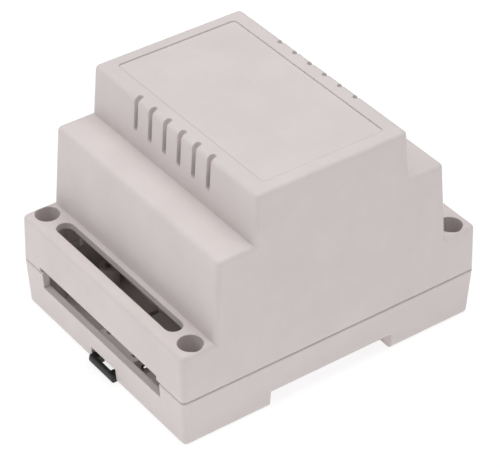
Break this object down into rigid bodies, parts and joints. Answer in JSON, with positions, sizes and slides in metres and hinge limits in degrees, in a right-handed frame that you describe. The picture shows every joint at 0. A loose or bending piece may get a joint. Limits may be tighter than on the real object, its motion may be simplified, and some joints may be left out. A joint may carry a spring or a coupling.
{
  "type": "din rail enclosure",
  "caption": "Stepped two-part plastic enclosure that clips onto a 35 mm mounting rail, with terminal ledges, vents and a sliding rail latch.",
  "frame": {"origin": "centre of the rail seat, the flat roof of the recess that the rail's face bears on", "axes": "+X along the rail, +Y across the rail towards the fixed hooks, +Z away from the rail to the front face"},
  "size_m": [0.0716, 0.0906, 0.065],
  "materials": {
    "case_plastic": "fine moulded matt, warm light grey",
    "latch_plastic": "matt black moulding",
    "screw_steel": "zinc plated"
  },
  "bodies": {
    "case": {"base": "case_plastic", "cover": "case_plastic", "screw_near_left": "screw_steel", "screw_near_right": "screw_steel", "screw_far_left": "screw_steel", "screw_far_right": "screw_steel"},
    "latch": {"rail_latch": "latch_plastic"}
  },
  "joints": [
    {"name": "latch_slide", "type": "slide", "parent": "case", "child": "latch", "axis": [0, -1, 0], "range_m": [0, 0.003], "stiffness_N_per_m": 1500, "springref_m": -0.002}
  ]
}
